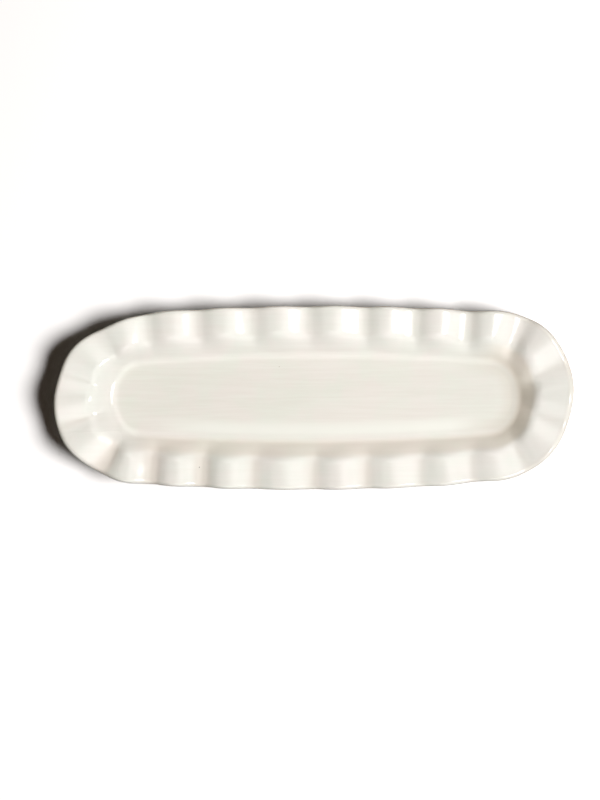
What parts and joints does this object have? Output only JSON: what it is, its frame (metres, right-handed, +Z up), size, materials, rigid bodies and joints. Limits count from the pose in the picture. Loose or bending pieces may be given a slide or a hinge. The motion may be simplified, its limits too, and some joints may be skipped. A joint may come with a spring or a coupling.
{
  "type": "asparagus plate",
  "caption": "Long narrow oval serving plate with a flat well, coved wall and ruffled rim, in glossy cream glazed earthenware on a low bare foot ring.",
  "frame": {"origin": "centre of the plate's outline, on the surface that the foot ring rests on", "axes": "+X along the plate's long axis, +Y across it, +Z up out of the well"},
  "size_m": [0.3943, 0.1398, 0.0237],
  "materials": {
    "fired_clay": "matte",
    "bare_foot": "matte",
    "face_glaze": "gloss",
    "back_glaze": "gloss"
  },
  "bodies": {
    "root": {"clay_body": "fired_clay", "foot_ring": "bare_foot", "glaze_face": "face_glaze", "glaze_back": "back_glaze", "glaze_recess": "back_glaze"}
  },
  "joints": []
}
